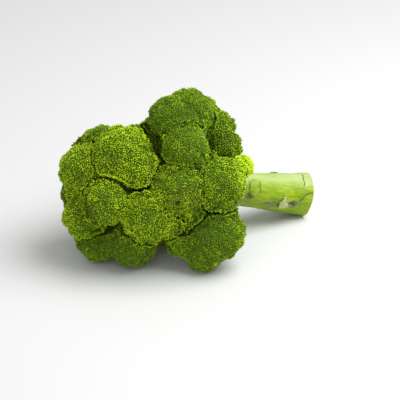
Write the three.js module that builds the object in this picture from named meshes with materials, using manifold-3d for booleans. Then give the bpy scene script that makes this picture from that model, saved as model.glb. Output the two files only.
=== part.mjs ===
// Broccoli head lying on its side: a cut stalk, the branches that leave it, and a floret of
// bud lobes on each branch. Millimetres, +Z up, resting on the plane z = 0.
//
// Everything is laid out on the upright head: the stalk's axis is +Z with the cut end at the
// origin, +X becomes the upper side once the head lies down, and +Y the far side.

import * as THREE from "three";
import { mergeVertices } from "three/addons/utils/BufferGeometryUtils.js";
import Module from "manifold-3d";

const wasm = await Module();
wasm.setup();

// ---- driving dimensions ----------------------------------------------------------------

const STALK_END_RADIUS = 18;
const STALK_NECK_RADIUS = 14.6; // where the first branches leave
const STALK_NECK_HEIGHT = 66;
const STALK_SPARE = 24; // length below the cut's middle that the cut takes away
const STALK_SIDES = 20;

// The stalk's radius at heights above the cut, up to where it ends inside the crown.
const STALK_OUTLINE = [
  { height: -STALK_SPARE, radius: STALK_END_RADIUS },
  { height: 8, radius: STALK_END_RADIUS },
  { height: 26, radius: 16.9 },
  { height: 50, radius: 15.2 },
  { height: STALK_NECK_HEIGHT, radius: STALK_NECK_RADIUS },
  { height: 84, radius: 15 },
  { height: 108, radius: 11.6 },
  { height: 132, radius: 9 },
  { height: 150, radius: 6 },
  { height: 152, radius: 0 },
];

const CUT_HEIGHT = -2.5; // where the cut crosses the stalk's axis
const CUT_NORMAL = new THREE.Vector3(0.04, -0.2, -1); // out of the cut face

const HEAD_TILT = 18; // degrees that the crown end rises above the stalk end when lying
const HEAD_LIFT = 17.6; // height of the stalk's cut centre above the surface

const LOBE_SIDES = 12;
const LOBE_DEPTH = 0.82; // how far a lobe reaches behind its centre, over its radius
const LOBE_NECK = 0.38; // radius of a lobe's flat back, over its radius
const LOBE_WAIST = { radius: 0.8, behind: 0.46 }; // widening from the neck, over the radius
const LOBE_SHOULDER = { radius: 0.98, behind: 0.15 }; // where the dome starts
const DOME_START = 12; // degrees above the lobe's middle
const DOME_STEPS = 4;
const BRANCH_SIDES = 7;
const BRANCH_WAIST = { share: 0.4, narrow: 0.92 }; // where a limb is thinnest, and how thin
const FORK_THICKNESS = 0.85; // a branch's radius at its fork, over that at its root
const LIMB_THICKNESS = 0.8; // a limb's radius at the fork, over the branch's there
const FORK_SHARE = 0.4; // where a branch forks, between its root and its lobes
const LIMB_OVERLAP = 3; // how far a limb starts inside the trunk
const GAP = 0.3; // kept between neighbouring pieces
const BLOCK = 600; // edge of the blocks used as cutting half spaces

// A lobe is placed round the stalk: turn in degrees (0 upper side, 90 far side, 270 near
// side), reach from the stalk's axis, height above the cut end, and its radius.
const lobe = (turn, reach, height, radius) => ({ turn, reach, height, radius });

// One entry for each branch with its floret. root is the height where the branch leaves the
// stalk, and thick is its radius there.
const FLORETS = [
  { name: "tip_top", root: 132, thick: 8, lobes: [lobe(7, 20, 189, 28), lobe(310, 21, 179, 20)] },
  { name: "tip_end", root: 142, thick: 7, lobes: [lobe(102, 24, 203, 27), lobe(165, 39, 201, 24)] },
  {
    name: "tip_near",
    root: 126,
    thick: 8,
    lobes: [lobe(220, 23, 203, 20), lobe(241, 36, 171, 25), lobe(247, 44, 151, 14)],
  },
  { name: "tip_low", root: 112, thick: 8, lobes: [lobe(174, 56, 185, 23), lobe(200, 53, 170, 22)] },
  {
    name: "tip_far",
    root: 120,
    thick: 8,
    lobes: [lobe(76, 37, 188, 24), lobe(129, 45, 190, 26), lobe(58, 36, 190, 17)],
  },
  { name: "upper", root: 76, thick: 9, lobes: [lobe(356, 59, 155, 22), lobe(356, 65, 140, 22)] },
  {
    name: "upper_back",
    root: 56,
    thick: 8,
    lobes: [lobe(9, 65, 114, 12), lobe(2, 52, 106, 19), lobe(346, 42, 97, 15)],
  },
  { name: "upper_far", root: 90, thick: 7, lobes: [lobe(24, 33, 160, 19), lobe(44, 46, 135, 21)] },
  { name: "near_high", root: 90, thick: 7, lobes: [lobe(322, 53, 154, 21)] },
  {
    name: "near_middle",
    root: 102,
    thick: 7,
    lobes: [lobe(284, 42, 156, 24), lobe(259, 43, 139, 17)],
  },
  { name: "near_back", root: 62, thick: 9, lobes: [lobe(292, 51, 124, 25)] },
  { name: "near_shoot", root: 60, thick: 4, lobes: [lobe(313, 49, 96, 10)] },
  {
    name: "near_low",
    root: 64,
    thick: 9,
    lobes: [lobe(248, 58, 114, 26), lobe(232, 66, 121, 17), lobe(227, 52, 135, 16)],
  },
  { name: "far_high", root: 60, thick: 9, lobes: [lobe(70, 57, 117, 26), lobe(71, 44, 150, 21)] },
  { name: "far_low", root: 66, thick: 9, lobes: [lobe(118, 60, 112, 27), lobe(112, 51, 150, 23)] },
  { name: "under", root: 80, thick: 8, lobes: [lobe(171, 40, 128, 22), lobe(164, 42, 156, 22)] },
];

// Stubs of the leaves that were broken off, in the spiral they grew in.
const LEAF_STUBS = [
  { name: "leaf_stub_near", turn: 258, height: 27, width: 7, rise: 2.6 },
  { name: "leaf_stub_top", turn: 40, height: 27, width: 6, rise: 2 },
  { name: "leaf_stub_far", turn: 133, height: 38, width: 7, rise: 2.4 },
  { name: "leaf_stub_collar", turn: 297, height: 59, width: 8, rise: 3.4 },
];

const MATERIALS = {
  stalk: { color: 0xacc835, roughness: 0.35 },
  branch: { color: 0x9dba48, roughness: 0.5 },
  buds: { color: 0x5c7a1f, roughness: 0.85 },
  stub: { color: 0xc3d48a, roughness: 0.55 },
};

// ---- solids ----------------------------------------------------------------------------

/** A point placed round the stalk by turn, reach and height. */
function around(turn, reach, height) {
  const angle = THREE.MathUtils.degToRad(turn);
  return new THREE.Vector3(reach * Math.cos(angle), reach * Math.sin(angle), height);
}

/** A manifold solid of a closed three.js geometry. */
function solid(geometry) {
  const bare = geometry.clone();
  bare.deleteAttribute("normal");
  bare.deleteAttribute("uv");
  const merged = mergeVertices(bare, 1e-4);
  const vertProperties = new Float32Array(merged.attributes.position.array);
  const triVerts = new Uint32Array(merged.index.array);
  return new wasm.Manifold(new wasm.Mesh({ numProp: 3, vertProperties, triVerts }));
}

/** The three.js geometry of a manifold solid. */
function toGeometry(shape) {
  const mesh = shape.getMesh();
  const geometry = new THREE.BufferGeometry();
  geometry.setAttribute("position", new THREE.BufferAttribute(mesh.vertProperties, 3));
  geometry.setIndex(new THREE.BufferAttribute(mesh.triVerts, 1));
  const faceted = geometry.toNonIndexed();
  faceted.computeVertexNormals();
  return faceted;
}

/** A profile of [radius, distance] points spun about the line from start along direction. */
function spun(profile, sides, start, direction) {
  const points = profile.map(([radius, distance]) => new THREE.Vector2(radius, distance));
  const geometry = new THREE.LatheGeometry(points, sides);
  const turn = new THREE.Quaternion().setFromUnitVectors(
    new THREE.Vector3(0, 1, 0),
    direction.clone().normalize(),
  );
  geometry.applyQuaternion(turn);
  geometry.translate(start.x, start.y, start.z);
  return solid(geometry);
}

/** All the space on the side of a plane that its normal points to. */
function halfSpace(point, normal) {
  const geometry = new THREE.BoxGeometry(BLOCK, BLOCK, BLOCK);
  geometry.translate(0, 0, BLOCK / 2);
  geometry.applyQuaternion(
    new THREE.Quaternion().setFromUnitVectors(
      new THREE.Vector3(0, 0, 1),
      normal.clone().normalize(),
    ),
  );
  geometry.translate(point.x, point.y, point.z);
  return solid(geometry);
}

/** The body with the largest volume, without the slivers that a cut may leave. */
function largest(shape) {
  return shape.decompose().reduce((best, body) => (body.volume() > best.volume() ? body : best));
}

/** The surface's side of the head, as a half space of the upright head. */
function ground() {
  const tilt = THREE.MathUtils.degToRad(HEAD_TILT);
  const up = new THREE.Vector3(Math.cos(tilt), 0, Math.sin(tilt));
  return halfSpace(up.clone().multiplyScalar(-HEAD_LIFT), up.clone().negate());
}

// ---- stalk -----------------------------------------------------------------------------

/** The stalk, thickest at its cut end, waisted at the neck and tapering into the crown. */
function stalkSolid(extra) {
  const profile = [[0, -STALK_SPARE]];
  for (const { height, radius } of STALK_OUTLINE) {
    profile.push(radius > 0 ? [radius + extra, height] : [0, height + extra]);
  }
  const whole = spun(profile, STALK_SIDES, new THREE.Vector3(), new THREE.Vector3(0, 0, 1));
  return whole.subtract(halfSpace(new THREE.Vector3(0, 0, CUT_HEIGHT), CUT_NORMAL));
}

/** A leaf stub: a low lens lying along the stalk, cut away where the stalk is. */
function stubSolid({ turn, height, width, rise }, grownStalk) {
  const geometry = new THREE.SphereGeometry(1, 12, 8);
  geometry.scale(width * 0.5, width, width * 0.75);
  geometry.rotateZ(THREE.MathUtils.degToRad(turn));
  const sink = width * 0.5 - rise;
  const centre = around(turn, stalkRadiusAt(height) - sink, height);
  geometry.translate(centre.x, centre.y, centre.z);
  return largest(solid(geometry).subtract(grownStalk));
}

/** The bare stalk's radius at a height below the neck. */
function stalkRadiusAt(height) {
  return THREE.MathUtils.mapLinear(
    height,
    0,
    STALK_NECK_HEIGHT,
    STALK_END_RADIUS,
    STALK_NECK_RADIUS,
  );
}

// ---- florets ---------------------------------------------------------------------------

/** Adds the centre points, the fork and the root to a floret's own numbers. */
function laidOut(floret) {
  const lobes = floret.lobes.map((each) => ({
    radius: each.radius,
    centre: around(each.turn, each.reach, each.height),
  }));
  const root = new THREE.Vector3(0, 0, floret.root);
  const middle = new THREE.Vector3();
  lobes.forEach((each) => middle.addScaledVector(each.centre, 1 / lobes.length));
  const fork = root.clone().lerp(middle, FORK_SHARE);
  return { ...floret, lobes, root, fork };
}

/** A lobe: a round dome of buds that narrows behind to the branchlets that carry it. */
function lobeSolid({ centre, radius }, fork, extra) {
  const size = radius + extra;
  const profile = [
    [0, -LOBE_DEPTH * size],
    [LOBE_NECK * size, -LOBE_DEPTH * size],
    [LOBE_WAIST.radius * size, -LOBE_WAIST.behind * size],
    [LOBE_SHOULDER.radius * size, -LOBE_SHOULDER.behind * size],
  ];
  for (let step = 0; step < DOME_STEPS; step += 1) {
    const angle = THREE.MathUtils.degToRad(DOME_START + ((90 - DOME_START) * step) / DOME_STEPS);
    profile.push([size * Math.cos(angle), size * Math.sin(angle)]);
  }
  profile.push([0, size]);
  return spun(profile, LOBE_SIDES, centre, centre.clone().sub(fork));
}

/** Cuts a lobe back to the plane midway, by their radii, between it and a neighbour. */
function cutAtNeighbour(shape, own, other) {
  const across = other.centre.clone().sub(own.centre);
  const distance = across.length();
  if (distance > own.radius + other.radius + GAP) {
    return shape;
  }
  const share = (distance ** 2 + own.radius ** 2 - other.radius ** 2) / (2 * distance);
  const point = own.centre.clone().addScaledVector(across, (share - GAP / 2) / distance);
  return shape.subtract(halfSpace(point, across));
}

/** One floret: its lobes, each cut back from the lobes of every other floret, and joined. */
function floretSolid(floret, all, grownStalk, floor) {
  const others = all.filter((other) => other !== floret).flatMap((other) => other.lobes);
  const parts = floret.lobes.map((own) =>
    others.reduce(
      (shape, other) => cutAtNeighbour(shape, own, other),
      lobeSolid(own, floret.fork, 0),
    ),
  );
  const joined = parts.reduce((sum, each) => sum.add(each));
  return largest(joined.subtract(grownStalk).subtract(floor));
}

// ---- branches --------------------------------------------------------------------------

/** A limb from one point to another, with its radius at each end and a little flare. */
function limb(start, end, startRadius, endRadius, extra) {
  const along = end.clone().sub(start);
  const length = along.length();
  const middle = Math.min(startRadius, endRadius) * BRANCH_WAIST.narrow;
  const profile = [
    [0, 0],
    [startRadius + extra, 0],
    [middle + extra, length * BRANCH_WAIST.share],
    [endRadius + extra, length],
    [0, length],
  ];
  return spun(profile, BRANCH_SIDES, start, along);
}

/** The branch of a floret before anything is cut from it: a trunk, and a limb to each lobe. */
function branchSolid(floret, extra) {
  const forkRadius = floret.thick * FORK_THICKNESS;
  let shape = limb(floret.root, floret.fork, floret.thick, forkRadius, extra);
  for (const { centre, radius } of floret.lobes) {
    const reach = centre.clone().sub(floret.fork);
    const length = reach.length() - LOBE_DEPTH * radius - GAP;
    const end = floret.fork.clone().addScaledVector(reach, length / reach.length());
    const back = floret.fork.clone().addScaledVector(reach, -LIMB_OVERLAP / reach.length());
    shape = shape.add(limb(back, end, forkRadius * LIMB_THICKNESS, radius * LOBE_NECK, extra));
  }
  return shape;
}

// ---- assembly --------------------------------------------------------------------------

const head = new THREE.Group();

/** Adds a piece to the head as a named mesh whose own origin is the given point. */
function addPiece(name, shape, origin, material) {
  const geometry = toGeometry(shape);
  geometry.translate(-origin.x, -origin.y, -origin.z);
  const mesh = new THREE.Mesh(
    geometry,
    new THREE.MeshStandardMaterial({ ...MATERIALS[material], metalness: 0 }),
  );
  mesh.name = name;
  mesh.position.copy(origin);
  head.add(mesh);
}

const floor = ground();
const stalk = stalkSolid(0).subtract(floor);
const grownStalk = stalkSolid(GAP);
addPiece("stalk", largest(stalk), new THREE.Vector3(), "stalk");

for (const stub of LEAF_STUBS) {
  const shape = stubSolid(stub, grownStalk).subtract(floor);
  addPiece(stub.name, largest(shape), around(stub.turn, STALK_NECK_RADIUS, stub.height), "stub");
}

const florets = FLORETS.map(laidOut);
const grownLobes = florets
  .flatMap((floret) => floret.lobes.map((each) => lobeSolid(each, floret.fork, GAP)))
  .reduce((sum, each) => sum.add(each));

let taken = grownStalk.add(grownLobes);
for (const floret of florets) {
  const shape = floretSolid(floret, florets, grownStalk, floor);
  addPiece(`floret_${floret.name}`, shape, floret.lobes[0].centre, "buds");
  const branch = largest(branchSolid(floret, 0).subtract(taken).subtract(floor));
  addPiece(`branch_${floret.name}`, branch, floret.fork, "branch");
  taken = taken.add(branchSolid(floret, GAP));
}

head.rotation.y = -THREE.MathUtils.degToRad(90 - HEAD_TILT);
head.position.z = HEAD_LIFT;

// The origin is under the middle of the whole head, on the surface that it rests on.
const broccoli = new THREE.Group();
broccoli.add(head);
const middle = new THREE.Box3().setFromObject(broccoli, true).getCenter(new THREE.Vector3());
head.position.x -= middle.x;
head.position.y -= middle.y;

export default broccoli;
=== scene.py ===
"""A broccoli head lying on its side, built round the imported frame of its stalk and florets."""

import logging
import math
from dataclasses import dataclass, field
from enum import Enum

import bmesh
import bpy
import numpy as np
from bpy.types import ID, Material, Mesh, Node, NodeSocket, Object
from mathutils import Matrix, Vector, noise
from mathutils.bvhtree import BVHTree
from mathutils.kdtree import KDTree


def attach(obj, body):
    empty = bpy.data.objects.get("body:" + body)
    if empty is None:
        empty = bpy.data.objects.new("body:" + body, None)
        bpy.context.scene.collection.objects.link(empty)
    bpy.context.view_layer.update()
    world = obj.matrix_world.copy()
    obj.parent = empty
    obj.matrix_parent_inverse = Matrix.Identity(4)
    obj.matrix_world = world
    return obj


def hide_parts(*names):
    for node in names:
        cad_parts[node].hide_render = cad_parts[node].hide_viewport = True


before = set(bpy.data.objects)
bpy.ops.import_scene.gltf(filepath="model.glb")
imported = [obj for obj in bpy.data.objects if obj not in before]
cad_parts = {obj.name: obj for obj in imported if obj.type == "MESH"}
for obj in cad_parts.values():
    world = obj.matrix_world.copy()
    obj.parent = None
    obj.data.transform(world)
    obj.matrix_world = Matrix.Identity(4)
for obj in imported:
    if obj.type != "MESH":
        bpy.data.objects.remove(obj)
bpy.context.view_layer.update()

MM = 0.001
BODY = "root"
PALETTE_MAP = "OFBake"
SEED = 20
WELD = 1e-6  # how near the loose corners of a CAD mesh lie
TILT = math.radians(18)  # how far the stalk slopes down to its cut end
TO_BASE = Vector((0.951, 0.0, -0.309))  # down the stalk, from the crown to the cut
HUB = Vector((0.043, 0.0, 0.039))  # where the branches spread from the stalk

Colour = tuple[float, float, float, float]  # linear, with alpha
TubePath = list[tuple[Vector, float]]  # points, each with a radius
Crack = tuple[tuple[float, float], ...]  # corners, by turn in degrees and place in millimetres

log = logging.getLogger("broccoli")


class Slot(Enum):
    """The record's material slots."""

    STALK = "stalk"
    BRANCH = "branch"
    BUDS = "buds"
    STUB = "stub"


class Tone(Enum):
    """Places along the bud palette, from 0 to 1."""

    SPOT = 0.04
    DULL = 0.15
    DEEP = 0.28
    GREEN = 0.44
    FRESH = 0.6
    LIME = 0.78
    STEM = 0.95


# ---- finishes ----------------------------------------------------------------------------


def linear(red: int, green: int, blue: int) -> Colour:
    """Turns a colour of 0 to 255 into the linear colour that shaders take.

    Args:
        red: Red share.
        green: Green share.
        blue: Blue share.

    Returns:
        The linear colour with full alpha.
    """
    shares = [value / 255 for value in (red, green, blue)]
    linear_shares = [
        share / 12.92 if share <= 0.04045 else ((share + 0.055) / 1.055) ** 2.4
        for share in shares
    ]
    return (*linear_shares, 1.0)


WHITE = linear(255, 255, 255)


class Shader:
    """A material's node tree, with short calls for the nodes that the finishes use."""

    MIX_ONE = 6  # places of the colour sockets on a Mix node
    MIX_TWO = 7
    MIX_RESULT = 2

    def __init__(self, name: str) -> None:
        """Starts a material with one Principled shader.

        Args:
            name: The material's name.
        """
        self.material = bpy.data.materials.new(name)
        self.material.use_nodes = True
        self.tree = self.material.node_tree
        self.surface = self.tree.nodes["Principled BSDF"]

    def add(self, kind: str, **settings: object) -> Node:
        """Adds a node and sets its properties.

        Args:
            kind: The node's type name, without its ShaderNode prefix.
            settings: Properties to set on the node.

        Returns:
            The new node.
        """
        node = self.tree.nodes.new("ShaderNode" + kind)
        for key, value in settings.items():
            setattr(node, key, value)
        return node

    def link(self, source: NodeSocket, target: NodeSocket) -> None:
        """Joins an output to an input."""
        self.tree.links.new(source, target)

    def object_place(
        self, stretch: tuple[float, float, float] = (1, 1, 1), turn: float = 0.0
    ) -> NodeSocket:
        """Object coordinates, turned about Y and stretched.

        Args:
            stretch: Scale along each axis, after the turn.
            turn: Turn about Y, in radians.

        Returns:
            The vector output.
        """
        place = self.add("TexCoord")
        mapping = self.add("Mapping", vector_type="TEXTURE")
        mapping.inputs["Rotation"].default_value = (0, turn, 0)
        mapping.inputs["Scale"].default_value = tuple(1 / value for value in stretch)
        self.link(place.outputs["Object"], mapping.inputs["Vector"])
        return mapping.outputs["Vector"]

    def noise(self, place: NodeSocket, scale: float, detail: float = 3) -> NodeSocket:
        """A noise pattern.

        Args:
            place: The vector to read.
            scale: Repeats per unit.
            detail: Octaves.

        Returns:
            The factor output.
        """
        node = self.add("TexNoise")
        node.inputs["Scale"].default_value = scale
        node.inputs["Detail"].default_value = detail
        self.link(place, node.inputs["Vector"])
        return node.outputs["Fac"]

    def ramp(self, factor: NodeSocket, stops: list[tuple[float, Colour]]) -> NodeSocket:
        """A colour ramp.

        Args:
            factor: What the ramp reads.
            stops: Pairs of place and linear colour.

        Returns:
            The colour output.
        """
        node = self.add("ValToRGB")
        elements = node.color_ramp.elements
        while len(elements) < len(stops):
            elements.new(0.5)
        for element, (place, colour) in zip(elements, stops, strict=True):
            element.position = place
            element.color = colour
        self.link(factor, node.inputs["Fac"])
        return node.outputs["Color"]

    def spread(
        self, value: NodeSocket, low: float, high: float, out: tuple[float, float]
    ) -> NodeSocket:
        """Maps a range of a value to another range, clamped.

        Args:
            value: What is read.
            low: Where the range starts.
            high: Where it ends.
            out: The two results.

        Returns:
            The result output.
        """
        node = self.add("MapRange")
        for name, number in zip(("From Min", "From Max", "To Min", "To Max"), (low, high, *out)):
            node.inputs[name].default_value = number
        self.link(value, node.inputs["Value"])
        return node.outputs["Result"]

    def mix(self, factor: NodeSocket, one: NodeSocket, two: NodeSocket | Colour) -> NodeSocket:
        """Mixes two colours.

        Args:
            factor: Share of the second.
            one: The first colour.
            two: The second, as an output or a linear colour.

        Returns:
            The mixed colour.
        """
        node = self.add("Mix", data_type="RGBA")
        self.link(factor, node.inputs["Factor"])
        self.link(one, node.inputs[self.MIX_ONE])
        if isinstance(two, tuple):
            node.inputs[self.MIX_TWO].default_value = two
        else:
            self.link(two, node.inputs[self.MIX_TWO])
        return node.outputs[self.MIX_RESULT]

    def multiply(self, one: NodeSocket, two: NodeSocket) -> NodeSocket:
        """Multiplies two colours.

        Args:
            one: The first colour.
            two: The second.

        Returns:
            The product.
        """
        node = self.add("Mix", data_type="RGBA", blend_type="MULTIPLY")
        node.inputs["Factor"].default_value = 1
        self.link(one, node.inputs[self.MIX_ONE])
        self.link(two, node.inputs[self.MIX_TWO])
        return node.outputs[self.MIX_RESULT]

    def speckled(
        self, colour: NodeSocket, pattern: NodeSocket, tint: Colour, low: float, high: float
    ) -> NodeSocket:
        """Tints a colour where a pattern is low.

        Args:
            colour: The colour to tint.
            pattern: The pattern.
            tint: What the colour is multiplied by in the low places.
            low: Where the tint is full.
            high: Where it has gone.

        Returns:
            The tinted colour.
        """
        return self.multiply(colour, self.ramp(pattern, [(low, tint), (high, WHITE)]))

    def attribute(self, name: str) -> NodeSocket:
        """One of the piece's own attributes, as a factor."""
        return self.add("Attribute", attribute_name=name).outputs["Fac"]

    def bump(self, height: NodeSocket, distance: float, strength: float) -> None:
        """Gives the shader a bump.

        Args:
            height: The height pattern.
            distance: Depth of the pattern, in metres.
            strength: Share of it that shows.
        """
        node = self.add("Bump")
        node.inputs["Distance"].default_value = distance
        node.inputs["Strength"].default_value = strength
        self.link(height, node.inputs["Height"])
        self.link(node.outputs["Normal"], self.surface.inputs["Normal"])

    def finish(self, colour: NodeSocket, roughness: NodeSocket, **sockets: float) -> Material:
        """Joins the colour and roughness to the shader.

        Args:
            colour: The base colour.
            roughness: The roughness.
            sockets: Constant values, by socket name with _ for a space.

        Returns:
            The finished material.
        """
        self.link(colour, self.surface.inputs["Base Color"])
        self.link(roughness, self.surface.inputs["Roughness"])
        for name, value in sockets.items():
            self.surface.inputs[name.replace("_", " ")].default_value = value
        return self.material


@dataclass(frozen=True)
class BudFinish:
    """Flower buds, coloured by a palette: u is the bud's tone and v its height on the bud, lowered
    in creases; the shade ramp on v is painted shade, darker low on each bud and deep in creases.
    """

    spot: Colour = linear(66, 56, 34)
    dull: Colour = linear(152, 158, 26)
    deep: Colour = linear(108, 144, 26)
    green: Colour = linear(142, 176, 12)
    fresh: Colour = linear(180, 212, 14)
    lime: Colour = linear(222, 248, 44)
    stem: Colour = linear(138, 164, 66)

    def material(self) -> Material:
        """Makes the material.

        Returns:
            The material.
        """
        shader = Shader("buds")
        place = shader.add("UVMap", uv_map=PALETTE_MAP).outputs["UV"]
        parts = shader.add("SeparateXYZ")
        shader.link(place, parts.inputs["Vector"])
        tone, height = parts.outputs["X"], parts.outputs["Y"]
        colour = shader.ramp(
            tone,
            [
                (Tone.SPOT.value, self.spot),
                (Tone.DULL.value, self.dull),
                (Tone.DEEP.value, self.deep),
                (Tone.GREEN.value, self.green),
                (Tone.FRESH.value, self.fresh),
                (Tone.LIME.value, self.lime),
                (Tone.STEM.value, self.stem),
            ],
        )
        # painted shade: darker low on each bud, on the skin between the buds and deep in creases
        shade = shader.ramp(
            height,
            [
                (0.0, linear(60, 68, 40)),
                (0.2, linear(150, 160, 120)),
                (0.4, linear(218, 224, 200)),
                (0.6, linear(246, 248, 236)),
                (1.0, WHITE),
            ],
        )
        mottle = shader.noise(place, 60, 2)
        colour = shader.multiply(colour, shade)
        colour = shader.speckled(colour, mottle, linear(225, 228, 220), 0.3, 0.7)
        roughness = shader.spread(height, 0.3, 1.0, (0.85, 0.52))
        return shader.finish(colour, roughness, Specular_IOR_Level=0.22)


@dataclass(frozen=True)
class BranchFinish:
    """Smooth pale green skin of branches and branchlets."""

    pale: Colour = linear(186, 206, 116)
    green: Colour = linear(140, 170, 62)
    dark: Colour = linear(84, 112, 34)

    def material(self) -> Material:
        """Makes the material.

        Returns:
            The material.
        """
        shader = Shader("branch_skin")
        place = shader.object_place()
        broad = shader.noise(place, 70, 3)
        fine = shader.noise(place, 900, 4)
        colour = shader.ramp(broad, [(0.34, self.dark), (0.5, self.green), (0.68, self.pale)])
        colour = shader.speckled(colour, fine, linear(216, 222, 200), 0.3, 0.7)
        shader.bump(fine, 0.4 * MM, 0.5)
        roughness = shader.spread(fine, 0.3, 0.7, (0.36, 0.56))
        return shader.finish(colour, roughness, Specular_IOR_Level=0.5)


@dataclass(frozen=True)
class StalkFinish:
    """Waxy skin of the stalk, with fibres along it, dull scars, painted shade in its cracks and
    below the collar, and a pale waxy band that is partly a painted highlight along its upper side.
    """

    pale: Colour = linear(164, 186, 44)
    fresh: Colour = linear(148, 174, 4)
    green: Colour = linear(124, 154, 2)
    # pale waxy bloom, partly a painted highlight along the upper side
    wax_and_highlight: Colour = linear(176, 192, 128)
    # dark scar colour, also laid on as painted shade in cracks and below the collar
    scar: Colour = linear(70, 76, 40)
    dry: Colour = linear(160, 164, 140)

    def material(self, turn: float) -> Material:
        """Makes the material.

        Args:
            turn: Turn about Y that lays X along the stalk, in radians.

        Returns:
            The material.
        """
        shader = Shader("stalk_skin")
        along = shader.object_place((0.22, 1, 1), turn)
        plain = shader.object_place()
        fibres = shader.noise(along, 420, 5)
        clouds = shader.noise(plain, 55, 4)
        grain = shader.noise(plain, 1500, 3)
        colour = shader.ramp(clouds, [(0.32, self.green), (0.52, self.fresh), (0.72, self.pale)])
        colour = shader.speckled(colour, fibres, linear(206, 220, 176), 0.34, 0.6)
        # the pale waxy band, partly a painted highlight along the upper side
        colour = shader.mix(shader.attribute("wax_and_highlight"), colour, self.wax_and_highlight)
        old = shader.ramp(fibres, [(0.42, self.scar), (0.66, self.dry)])
        colour = shader.mix(shader.attribute("scar"), colour, old)
        # painted shade: the dark scar colour in the cracks, along the collar's edge and below the
        # collar
        colour = shader.mix(shader.attribute("painted_shade"), colour, self.scar)
        height = shader.add("Math", operation="ADD")
        shader.link(fibres, height.inputs[0])
        shader.link(grain, height.inputs[1])
        shader.bump(height.outputs["Value"], 0.4 * MM, 0.45)
        roughness = shader.spread(clouds, 0.3, 0.7, (0.3, 0.46))
        return shader.finish(
            colour, roughness, Coat_Weight=0.06, Coat_Roughness=0.25, Specular_IOR_Level=0.25
        )


@dataclass(frozen=True)
class CutFinish:
    """The cut face: a green rim, a ring of veins and a pale moist pith."""

    rim: Colour = linear(150, 178, 60)
    ring: Colour = linear(176, 196, 92)
    flesh: Colour = linear(206, 220, 146)
    pith: Colour = linear(226, 232, 182)

    def material(self) -> Material:
        """Makes the material.

        Returns:
            The material.
        """
        shader = Shader("cut_face")
        place = shader.object_place()
        inward = shader.attribute("inward")
        grain = shader.noise(place, 1100, 4)
        blotch = shader.noise(place, 160, 3)
        colour = shader.ramp(
            inward,
            [
                (0.0, self.rim),
                (0.1, self.flesh),
                (0.2, self.ring),
                (0.3, self.flesh),
                (1.0, self.pith),
            ],
        )
        colour = shader.speckled(colour, grain, linear(186, 200, 140), 0.36, 0.56)
        colour = shader.speckled(colour, blotch, linear(226, 218, 180), 0.3, 0.55)
        shader.bump(grain, 0.5 * MM, 0.6)
        roughness = shader.spread(blotch, 0.3, 0.7, (0.34, 0.6))
        return shader.finish(colour, roughness, Specular_IOR_Level=0.5)


@dataclass(frozen=True)
class StubFinish:
    """A torn leaf base: pale fibres with a dull dry edge."""

    name: str = "leaf_stub"
    torn: Colour = linear(198, 208, 140)
    edge: Colour = linear(112, 128, 60)

    def material(self) -> Material:
        """Makes the material.

        Returns:
            The material.
        """
        shader = Shader(self.name)
        place = shader.object_place()
        grain = shader.noise(place, 700, 4)
        colour = shader.ramp(shader.attribute("inward"), [(0.1, self.edge), (0.7, self.torn)])
        colour = shader.speckled(colour, grain, linear(190, 196, 150), 0.34, 0.62)
        shader.bump(grain, 0.6 * MM, 0.7)
        roughness = shader.spread(grain, 0.3, 0.7, (0.45, 0.7))
        return shader.finish(colour, roughness)


# ---- mesh helpers ------------------------------------------------------------------------


def merged_copy(node: str) -> bmesh.types.BMesh:
    """Copies a CAD node with its loose triangles joined.

    Args:
        node: The node's name.

    Returns:
        A closed bmesh.
    """
    bm = bmesh.new()
    bm.from_mesh(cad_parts[node].data)
    bmesh.ops.remove_doubles(bm, verts=bm.verts, dist=WELD)
    return bm


def mesh_of(name: str, bm: bmesh.types.BMesh) -> Mesh:
    """Makes a mesh of a bmesh.

    Args:
        name: The mesh's name.
        bm: The shape, which is freed.

    Returns:
        The mesh.
    """
    mesh = bpy.data.meshes.new(name)
    bm.to_mesh(mesh)
    bm.free()
    return mesh


def placed(name: str, data: ID) -> Object:
    """Makes an object of a mesh, curve, camera or light, and puts it in the scene.

    Args:
        name: The object's name.
        data: What it shows.

    Returns:
        The object, at the origin.
    """
    obj = bpy.data.objects.new(name, data)
    bpy.context.scene.collection.objects.link(obj)
    return obj


def remeshed(bm: bmesh.types.BMesh, voxel: float) -> bmesh.types.BMesh:
    """Runs a voxel remesh over a closed bmesh.

    Args:
        bm: The shape, which is freed.
        voxel: The voxel size, in metres.

    Returns:
        The even mesh of the same shape.
    """
    mesh = mesh_of("draft", bm)
    draft = placed("draft", mesh)
    modifier = draft.modifiers.new("grid", "REMESH")
    modifier.mode = "VOXEL"
    modifier.voxel_size = voxel
    result = bmesh.new()
    result.from_object(draft, bpy.context.evaluated_depsgraph_get())
    bpy.data.objects.remove(draft)
    bpy.data.meshes.remove(mesh)
    return result


def smooth(bm: bmesh.types.BMesh, rounds: int) -> None:
    """Smooths every vertex towards its neighbours.

    Args:
        bm: The shape to change.
        rounds: How many times.
    """
    for _ in range(rounds):
        bmesh.ops.smooth_vert(
            bm, verts=bm.verts, factor=0.5, use_axis_x=True, use_axis_y=True, use_axis_z=True
        )


def swell(bm: bmesh.types.BMesh, amounts: list[float]) -> None:
    """Moves each vertex along its normal.

    Args:
        bm: The shape to change.
        amounts: One distance for each vertex.
    """
    bm.normal_update()
    moves = [vert.normal * amount for vert, amount in zip(bm.verts, amounts, strict=True)]
    for vert, move in zip(bm.verts, moves, strict=True):
        vert.co += move


def above_surface(bm: bmesh.types.BMesh) -> None:
    """Flattens what would sink below the surface that the head lies on."""
    for vert in bm.verts:
        vert.co.z = max(vert.co.z, 0.0)


def ripple(bm: bmesh.types.BMesh, scale: float) -> np.ndarray:
    """Soft noise at every vertex, from -1 to 1."""
    return np.array([noise.noise(vert.co * scale) for vert in bm.verts])


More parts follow.
